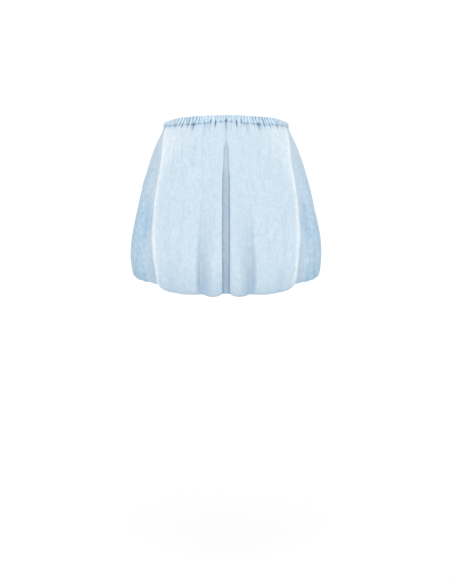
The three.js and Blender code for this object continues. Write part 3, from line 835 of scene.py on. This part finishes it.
def two_layer_cloth(name, points, lined, rows_kept, cols_kept, attributes, material):
    """A closed thin cloth: a fine outer face, and an inner face with only some of its rows and columns."""
    pick = np.ix_(rows_kept, cols_kept)
    outer = np.arange(points[:, :, 0].size).reshape(points.shape[:2])
    inner = outer.size + np.arange(len(rows_kept) * len(cols_kept)).reshape(len(rows_kept), -1)
    verts = np.concatenate([points.reshape(-1, 3), lined[pick].reshape(-1, 3)])
    faces = patch_faces(outer) + patch_faces(inner.T)
    faces += rim_faces(outer[0], inner[0], cols_kept, False)
    faces += rim_faces(outer[-1], inner[-1], cols_kept, True)
    faces += rim_faces(outer[:, 0], inner[:, 0], rows_kept, True)
    faces += rim_faces(outer[:, -1], inner[:, -1], rows_kept, False)
    both = {}
    for key, values in attributes.items():
        both[key] = np.concatenate([part.reshape(-1, *values.shape[2:]) for part in (values, values[pick])])
    return finish_mesh(name, verts, faces, both, material)


# The waistband and the hem band.
def band_fade(up, seed):
    """How strong a gather is at a height of the band, as each is deepest at a height of its own."""
    return 0.5 + 0.5 * math.cos(TURN * (BAND_FADE_TURNS * up + float(uneven(seed))))


def band_crinkles(angle, up):
    """Fine creases of the band between its gathers: how far they stand out, and their painted shade."""
    length = np.radians(angle) * reach(WAIST_HALF_WIDTH, WAIST_HALF_DEPTH, angle * 0.5)
    drift = CRINKLE_DRIFT * np.sin(length / CRINKLE_DRIFT_RUN)
    bend = CRINKLE_BEND * np.sin(up * CRINKLE_BEND_RATE + length / CRINKLE_BEND_RUN)
    q = length / CRINKLE_PITCH + drift + bend
    i = np.round(q)
    deep = uneven(i + 500) * (0.5 + 0.5 * np.cos(TURN * (up + uneven(i + 600))))
    shape = bell((q - i) * CRINKLE_PITCH, CRINKLE_HALF) * deep
    return -CRINKLE_DEPTH * shape, CRINKLE_TINT * shape


def band_relief(panel, angle, up):
    """How far the band's gathers stand out at a share of its height, and their painted shade."""
    leaning = angle + BAND_LEAN * up * ease(angle / LEAN_FULL) * clamp((SIDE_ANGLE - angle) / LEAN_ENDS)
    gathers = gather_list(panel)
    depths = [row[1] * mix(*BAND_FADES, band_fade(up, row[0])) for row in gathers]
    out, shade = flutes(leaning, [row[0] for row in gathers], depths)
    dent = pucker_dent(panel, 0.0, leaning) * (1 - ease(up / PUCKER_UP))
    edge = SEAM_SHADOW * BAND_SEAM_SHADOW * bell(up, BAND_SHADOW_HALF) * seam_dashes(leaning)
    crinkle, crinkle_shade = band_crinkles(leaning, up)
    return out - dent + crinkle, shade + dent * BAND_PUCKER_TINT + edge + crinkle_shade


def band_grid():
    """The waistband as rows round the section and columns round the waist, with its painted shade."""
    turn = np.radians(np.arange(BAND_STEPS) * 360.0 / BAND_STEPS)
    from_centre = np.degrees(np.arccos(np.clip(np.abs(np.cos(turn)), 0, 1)))
    is_front = np.cos(turn) >= 0
    halves = ((front, is_front), (back, ~is_front))
    nx, ny = np.sin(turn) / WAIST_HALF_WIDTH, np.cos(turn) / WAIST_HALF_DEPTH
    size = np.hypot(nx, ny)
    seam, top = np.zeros(BAND_STEPS), np.zeros(BAND_STEPS)
    for panel, mask in halves:
        seam[mask] = SEAM_Z + seam_height(panel, from_centre[mask], 0.0)
        top[mask] = look_up(panel["edges"], EDGE_COLUMNS, "top", from_centre[mask])
    rows, shades = [], []
    for up, behind, swell, wave in BAND_SECTION:
        out, shade = np.zeros(BAND_STEPS), np.zeros(BAND_STEPS)
        for panel, mask in halves:
            out[mask], shade[mask] = band_relief(panel, from_centre[mask], up)
        push = out * wave + swell * BAND_SWELL - behind * BAND_THICK
        x = WAIST_HALF_WIDTH * np.sin(turn) + nx / size * push
        y = -(WAIST_HALF_DEPTH * np.cos(turn) + ny / size * push)
        z = mix(seam, top, up) + RAGGED_DEPTH * out * ramp(up, RAGGED)
        rows.append(np.stack([x, y, z], axis=1))
        shades.append(shade * wave if behind < 0.5 else shade * 0)
    return np.array(rows), np.array(shades)


def hem_band_grid():
    """The hem band, a strip that stands on the inner edge of the turned-under cloth."""
    around = np.arange(HEM_BAND_STEPS) * 360.0 / HEM_BAND_STEPS
    turn = np.radians(around)
    deep = np.where(np.cos(turn) > 0, HEM_SEAM_FRONT, HEM_SEAM_BACK)
    low = mix(SEAM_Z, inside_hem(around), FALLS[-1]) + SEAM_GAP
    q = around / 360.0 * HEM_BAND_GATHERS
    i = np.floor(q)
    wave = (np.sin(np.pi * (q - i)) ** HEM_GATHER_SHAPE) * between(HEM_BAND_WAVES, i + 300)
    outside = [(up, 1) for up in HEM_BAND_RISES]
    inside = [(up, 0) for up in reversed(HEM_BAND_RISES)]
    rows = []
    for up, out in outside + inside:
        push = out * (HEM_BAND_THICK - HEM_BAND_WAVES[1]) + wave * (1 - up * HEM_BAND_FLATTENS)
        x = (HEM_SEAM_WIDE + push) * np.sin(turn)
        y = -(deep + push) * np.cos(turn)
        rows.append(np.stack([x, y, low + up * HEM_BAND_HEIGHT], axis=1))
    return np.array(rows)


def strip_mesh(name, grid, shade, round_mm, row_mm):
    """A band as a closed ring, with the cloth's own coordinates along it and across it."""
    rows, cols = grid.shape[:2]
    cloth = np.zeros((rows, cols, 3))
    cloth[:, :, 0] = np.linspace(0, round_mm, cols)[None, :] * MM
    cloth[:, :, 1] = np.arange(rows)[:, None] * row_mm * MM
    attributes = {"cloth": cloth.reshape(-1, 3), "groove": shade.ravel(), "wear_and_painted_light": np.zeros(rows * cols)}
    return finish_mesh(name, grid.reshape(-1, 3), ring_faces(rows, cols), attributes, band_cloth)


# Stitching.
def along(at, values, here):
    """A value between the points of a path, at a length along it."""
    return np.array([np.interp(here, at, values[:, j]) for j in range(3)])


def stitch_points(begin, at, path, outward):
    """The rings of points of one stitch, which dips into the cloth at both ends."""
    points = []
    for part in STITCH_PARTS:
        here = begin + part * STITCH_LENGTH
        centre, out = along(at, path, here), along(at, outward, here)
        ahead = along(at, path, min(here + STITCH_AHEAD, at[-1])) - centre
        ahead /= max(np.linalg.norm(ahead), 1e-6)
        side = np.cross(ahead, out)
        whole = 0 < part < 1
        high = THREAD * (STITCH_STANDS if whole else STITCH_DIPS)
        wide = THREAD * (STITCH_FULL if whole else STITCH_TIP)
        for k in range(STITCH_SIDES):
            a = k * TURN / STITCH_SIDES
            points.append(centre + out * (high + wide * math.sin(a)) + side * wide * math.cos(a))
    return points


def make_stitching(name, path, half_width, half_depth, facing):
    """A row of short raised threads along a closed path, on the outside for facing 1 and inside for -1."""
    outward = facing * path * np.array([1 / half_width**2, 1 / half_depth**2, 0.0])
    outward /= np.linalg.norm(outward, axis=1, keepdims=True)
    closed = np.concatenate([path, path[:1]])
    away = np.concatenate([outward, outward[:1]])
    at = np.concatenate(([0.0], np.cumsum(np.linalg.norm(np.diff(closed, axis=0), axis=1))))
    verts, faces = [], []
    count = int(at[-1] // STITCH_SPACE)
    for k in range(count):
        index = len(verts) + np.arange(len(STITCH_PARTS) * STITCH_SIDES).reshape(-1, STITCH_SIDES)
        verts += stitch_points(k * at[-1] / count, at, closed, away)
        faces += patch_faces(np.pad(index, ((0, 0), (0, 1)), mode="wrap"))
        faces += [index[0].tolist(), index[-1][::-1].tolist()]
    cloth = np.zeros((len(verts), 3))
    cloth[:, 0] = np.arange(len(verts)) * THREAD_COORDINATE
    stitching = finish_mesh(name, verts, faces, {"cloth": cloth}, thread)
    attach(stitching, "root")


# Materials.
FRONT_COLOUR = (0.543, 0.652, 0.742)
BAND_COLOUR = (0.592, 0.717, 0.815)
# The sides' darker, bluer colour: partly a duller wash, partly painted shade.
SIDE_DULL_AND_SHADE_COLOUR = (0.425, 0.578, 0.708)
# Painted shade: the dark blue the cloth turns towards in its gathers, creases, pleat, seam and hem.
PAINTED_SHADE_COLOUR = (0.11, 0.27, 0.43)
# The crest's paler colour: partly wear, partly a painted highlight.
WORN_AND_HIGHLIGHT_COLOUR = (0.82, 0.89, 0.935)
THREAD_COLOUR = (0.62, 0.75, 0.85)
# How much of a change in tone each of red, green and blue takes.
DYE_TAKES = (1.5, 1.0, 0.6)
PAINTED_SHADE_SHARE = 0.5
PAINTED_SHADE_MOST = 0.85
SIDE_MOTTLING = 0.6
WEAVE_PITCH = 0.00085
WEAVE_SHARE = 0.035
BUMP_HEIGHT = 0.0009


class Nodes:
    """Short calls for building a material's node tree."""

    def __init__(self, name):
        self.material = bpy.data.materials.new(name)
        self.material.use_nodes = True
        self.tree = self.material.node_tree
        self.shader = self.tree.nodes["Principled BSDF"]

    def add(self, kind, links=(), **values):
        """A node with its values, and its sockets linked or given a number each."""
        node = self.tree.nodes.new(kind)
        for key, value in values.items():
            setattr(node, key, value)
        for socket, source in links:
            self.give(node.inputs[socket], source)
        return node

    def give(self, socket, source):
        """Links a source to a socket, or sets a plain value on it."""
        if isinstance(source, bpy.types.NodeSocket):
            self.tree.links.new(source, socket)
        else:
            socket.default_value = source

    def attribute(self, name, output):
        return self.add("ShaderNodeAttribute", attribute_name=name).outputs[output]

    def math(self, operation, a, b=0.0, c=0.0):
        return self.add("ShaderNodeMath", [(0, a), (1, b), (2, c)], operation=operation).outputs[0]

    def vector_math(self, operation, *inputs):
        return self.add("ShaderNodeVectorMath", list(enumerate(inputs)), operation=operation).outputs[0]

    def stretched(self, vector, across, down, detail=2.0, rough=0.5):
        """Noise whose grains are across wide and down long, in metres."""
        scaled = self.vector_math("MULTIPLY", vector, (1 / across, 1 / down, 1.0))
        links = [("Vector", scaled), ("Scale", 1.0), ("Detail", detail), ("Roughness", rough)]
        return self.add("ShaderNodeTexNoise", links).outputs[0]

    def varied(self, tone, noise, share):
        """A tone made uneven by a share of noise about its middle."""
        return self.math("MULTIPLY_ADD", self.math("SUBTRACT", noise, 0.5), share, tone)

    def blend(self, share, a, b):
        """Two colours mixed. The sockets 6 and 7 of the node are those for colours."""
        colours = [(*colour, 1.0) if isinstance(colour, tuple) else colour for colour in (a, b)]
        links = [(0, share), (6, colours[0]), (7, colours[1])]
        return self.add("ShaderNodeMix", links, data_type="RGBA").outputs[2]

    def toned(self, colour, tone):
        """The colour lighter or darker by a tone about 1, most in red and least in blue, as blue dye is."""
        away = self.math("SUBTRACT", tone, 1.0)
        share = self.vector_math("MULTIPLY_ADD", away, DYE_TAKES, (1.0, 1.0, 1.0))
        return self.vector_math("MULTIPLY", colour, share)

    def feed(self, **sources):
        """Gives the shader's sockets their sources, each under the socket's name with _ for a space."""
        for name, source in sources.items():
            self.give(self.shader.inputs[name.replace("_", " ")], source)


def chambray(name, colour, mottled, grain):
    """Plain-woven cotton with a coloured warp: slubs down the cloth, soft mottling and a fine weave."""
    n = Nodes(name)
    cloth = n.attribute("cloth", "Vector")
    # The groove attribute is painted shade from the gathers, puckers, creases, pleat, waist seam and hem.
    groove = n.attribute("groove", "Fac")
    wear_and_painted_light = n.attribute("wear_and_painted_light", "Fac")
    # Above 0: a paler crest, partly wear and partly a painted highlight.
    pale = n.math("MAXIMUM", wear_and_painted_light, 0.0)
    # Below 0: darker sides, partly a duller wash and partly painted shade.
    dull_and_painted_shade = n.math("MAXIMUM", n.math("MULTIPLY", wear_and_painted_light, -1.0), 0.0)

    slubs = n.stretched(cloth, 0.0026, 0.024, 3.0, 0.6)
    yarns = n.stretched(cloth, 0.0011, 0.012, 1.0)
    weft = n.stretched(cloth, 0.018, 0.0022, 2.0)
    cloud = n.stretched(cloth, grain, grain * 1.3, 3.0, 0.7)
    patch = n.stretched(cloth, 0.045, 0.07, 2.0)
    tone = 1.0
    mottling = n.math("MULTIPLY_ADD", dull_and_painted_shade, SIDE_MOTTLING, mottled)
    for noise, share in ((slubs, 0.32), (yarns, 0.20), (weft, 0.22), (cloud, mottling), (patch, 0.06)):
        tone = n.varied(tone, noise, share)

    place = n.add("ShaderNodeSeparateXYZ", [(0, cloth)])
    warp, fill = (n.math("SINE", n.math("MULTIPLY", place.outputs[k], TURN / WEAVE_PITCH)) for k in (0, 1))
    weave = n.math("MULTIPLY", warp, fill)
    tone = n.math("MULTIPLY_ADD", weave, WEAVE_SHARE, tone)

    # Crest paler as wear and painted highlight; sides darker as a duller wash and painted shade.
    worn = n.blend(n.math("MINIMUM", pale, 1.0), colour, WORN_AND_HIGHLIGHT_COLOUR)
    worn = n.blend(n.math("MINIMUM", dull_and_painted_shade, 1.0), worn, SIDE_DULL_AND_SHADE_COLOUR)
    # Painted shade: the colour is darkened and blued where the groove attribute says, up to a limit.
    depth = n.math("MINIMUM", n.math("MULTIPLY", groove, PAINTED_SHADE_SHARE), PAINTED_SHADE_MOST)
    toned = n.toned(n.blend(depth, worn, PAINTED_SHADE_COLOUR), tone)

    height = n.math("MULTIPLY_ADD", weave, 0.10, n.math("MULTIPLY", slubs, 0.8))
    height = n.math("MULTIPLY_ADD", cloud, 0.9, height)
    bump = n.add("ShaderNodeBump", [("Strength", 0.6), ("Distance", BUMP_HEIGHT), ("Height", height)])
    rough = n.math("MULTIPLY_ADD", slubs, 0.12, 0.82)
    n.feed(Base_Color=toned, Normal=bump.outputs[0], Roughness=rough)
    n.feed(Specular_IOR_Level=0.2, Sheen_Weight=0.12, Sheen_Roughness=0.6)
    return n.material


def thread_finish(name):
    """Matt cotton thread, twisted, so its tone changes along it."""
    n = Nodes(name)
    twist = n.stretched(n.attribute("cloth", "Vector"), 0.0009, 0.0009)
    toned = n.toned(THREAD_COLOUR, n.varied(1.0, twist, 0.25))
    n.feed(Base_Color=toned, Roughness=0.7, Specular_IOR_Level=0.3)
    return n.material


def stage_finish(name):
    """Pale paper that glows a little."""
    n = Nodes(name)
    n.feed(Base_Color=(0.9, 0.9, 0.9, 1), Roughness=1.0, Specular_IOR_Level=0.0)
    n.feed(Emission_Color=(1, 1, 1, 1), Emission_Strength=0.25)
    return n.material


def panel_wear_and_painted_light(panel, travels, angle):
    """Paler above 0, as wear and a painted highlight; below 0 duller, more mottled and in painted shade."""
    wear_and_painted_light = np.zeros(angle.shape)
    for r, travel in enumerate(travels):
        fall, wide, deep, _, inside = section_at(travel, panel)
        ridge = fold_angle(panel["folds"][0], fall)
        away = np.radians(angle[r] - ridge) * reach(wide, deep, ridge)
        near_top = (1 - float(ease(fall / TOP_REACH))) ** 2
        bowed = bell(fall - BOWED_AT, BOWED_HALF)
        bulged = float(ramp(fall, BULGES))
        crest = bell(away, mix(*CREST_HALF, near_top))
        outer_half = mix(*HALO_OUTER, near_top) + BOWED_HALO * bowed
        halo = np.where(away < 0, bell(away, mix(*HALO_INNER, near_top)), bell(away, outer_half))
        pale = CREST_SHARE * crest + mix(*HALO_SHARE, near_top) * halo
        foot = mix(*DULL_FOOT, bulged) + BOWED_FOOT * bowed
        outside = ease((away - foot) / mix(*DULL_OVER, bulged))
        dull_and_painted_shade = outside * float(mix(DULL_TOP, 1.0, ramp(fall, DULL_GROWS)))
        grown = float(ramp(travel, WEAR_GROWS)) * (1 - inside)
        wear_and_painted_light[r] = grown * (panel["worn"] * pale - panel["dull_and_painted_shade"] * dull_and_painted_shade)
    return wear_and_painted_light


def kept(count, fine):
    """Every second place of a row of so many, the last one, and all that are marked as fine."""
    return [i for i in range(count) if i % 2 == 0 or i == count - 1 or fine[i]]


def make_panel(panel):
    """A panel's cloth over its solid in the frame."""
    travels, points, lined, shade, angle = panel_grid(panel)
    cols = points.shape[1]
    in_pleat = np.abs(np.arange(cols) - (cols - 1) // 2) <= PLEAT_STEPS + PLEAT_LIP_STEPS
    rows_kept = kept(len(travels), travels > HEM_TRAVEL - INNER_FINE_REACH)
    cols_kept = kept(cols, in_pleat & panel["pleat"])
    wear_and_painted_light = panel_wear_and_painted_light(panel, travels, angle)
    attributes = {"cloth": cloth_coordinates(travels, points), "groove": shade, "wear_and_painted_light": wear_and_painted_light}
    obj = two_layer_cloth(panel["piece"], points, lined, rows_kept, cols_kept, attributes, chambray_cloth)
    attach(obj, "root")
    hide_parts(panel["node"])


# What differs between the two panels, with how strong the paler crest is, as wear and painted highlight,
# and how strong the darker sides are, as a duller wash and painted shade.
front = {
    "piece": "front_panel_cloth", "node": "front_panel", "sign": -1, "depth": "front", "pleat": True,
    "folds": FRONT_FOLDS, "stops": FRONT_STOPS, "hem": FRONT_HEM, "puckers": FRONT_PUCKERS,
    "edges": FRONT_EDGES, "creases": FRONT_CREASES, "seed": 11, "worn": 1.0, "dull_and_painted_shade": 1.0,
    "flat": (0.67, 0.45),
}
back = {
    "piece": "back_panel_cloth", "node": "back_panel", "sign": 1, "depth": "back", "pleat": False,
    "folds": BACK_FOLDS, "stops": BACK_STOPS, "hem": BACK_HEM, "puckers": BACK_PUCKERS,
    "edges": BACK_EDGES, "creases": BACK_CREASES, "seed": 57, "worn": 0.35, "dull_and_painted_shade": 0.6,
    "flat": (0.61, 0.41),
}

chambray_cloth = chambray("chambray_cloth", FRONT_COLOUR, 0.2, 0.0075)
band_cloth = chambray("band_cloth_gathered", BAND_COLOUR, 0.5, 0.0042)
thread = thread_finish("cotton_thread")

make_panel(front)
make_panel(back)

# The waistband and the row of stitches that holds its casing.
band_points, band_shade = band_grid()
band = strip_mesh("waistband_cloth", band_points, band_shade, BAND_ROUND, BAND_ROW)
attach(band, "root")
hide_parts("waistband")
make_stitching("waist_stitching", band_points[BAND_STITCH_ROW], WAIST_HALF_WIDTH, WAIST_HALF_DEPTH, 1)

# The hem band and its stitches, on the side that faces the wearer.
hem_points = hem_band_grid()
hem = strip_mesh("hem_band_cloth", hem_points, np.zeros(hem_points.shape[:2]), HEM_BAND_ROUND, HEM_BAND_ROW)
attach(hem, "root")
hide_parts("hem_band")
hem_path = mix(hem_points[-1], hem_points[-2], HEM_STITCH_SHARE)
make_stitching("hem_stitching", hem_path, HEM_SEAM_WIDE, (HEM_SEAM_FRONT + HEM_SEAM_BACK) / 2, -1)

# The studio: a pale floor far below that curves up into a wall all round, in millimetres, and one soft light
# in front, which is placed in metres like the camera.
FLOOR_Z = -1150
WALL_RADIUS = 4800
WALL_BEND = 1400
WALL_TOP = 3200
BEND_STEPS = 12
STUDIO_STEPS = 96
LIGHT_PLACE = Vector((0.0, -2.9, 2.0))
LIGHT_AIM = Vector((0, 0, -0.2))
LIGHT_SIZE = 1.8
LIGHT_WATTS = 46
ROOM_LIGHT = 0.54


def studio_bowl():
    """The floor and the wall in one piece, from the middle of the floor to the top of the wall."""
    line = [(WALL_RADIUS - WALL_BEND, FLOOR_Z)]
    for k in range(1, BEND_STEPS + 1):
        a = math.pi / 2 * k / BEND_STEPS
        line.append((WALL_RADIUS - WALL_BEND * (1 - math.sin(a)), FLOOR_Z + WALL_BEND * (1 - math.cos(a))))
    line.append((WALL_RADIUS, WALL_TOP))
    turns = np.arange(STUDIO_STEPS) * TURN / STUDIO_STEPS
    verts = [(0, 0, FLOOR_Z)]
    verts += [(radius * math.cos(a), radius * math.sin(a), z) for radius, z in line for a in turns]
    index = 1 + np.arange(len(line) * STUDIO_STEPS).reshape(len(line), -1)
    index = np.pad(index, ((0, 0), (0, 1)), mode="wrap")
    faces = [(0, *pair) for pair in zip(index[0, :-1].tolist(), index[0, 1:].tolist())]
    obj = finish_mesh("studio_bowl", verts, faces + patch_faces(index), {}, stage_finish("pale_paper"))


studio_bowl()

light = bpy.data.lights.new("front_light", "AREA")
light.shape = "SQUARE"
light.size = LIGHT_SIZE
light.energy = LIGHT_WATTS
lamp = place_object("front_light", light)
lamp.location = LIGHT_PLACE
lamp.rotation_euler = (LIGHT_AIM - LIGHT_PLACE).to_track_quat("-Z", "Y").to_euler()

world = bpy.data.worlds.new("white_room")
world.use_nodes = True
world.node_tree.nodes["Background"].inputs["Color"].default_value = (1, 1, 1, 1)
world.node_tree.nodes["Background"].inputs["Strength"].default_value = ROOM_LIGHT
bpy.context.scene.world = world
bpy.context.scene.view_settings.view_transform = "Standard"

camera = bpy.data.cameras.new("camera")
camera.lens = 66.4
camera.sensor_width = 36.0
viewer = place_object("camera", camera)
viewer.location = (-0.0002, -2.4, -0.372)
viewer.rotation_euler = (math.radians(90), 0, 0)
bpy.context.scene.camera = viewer

bpy.context.view_layer.update()
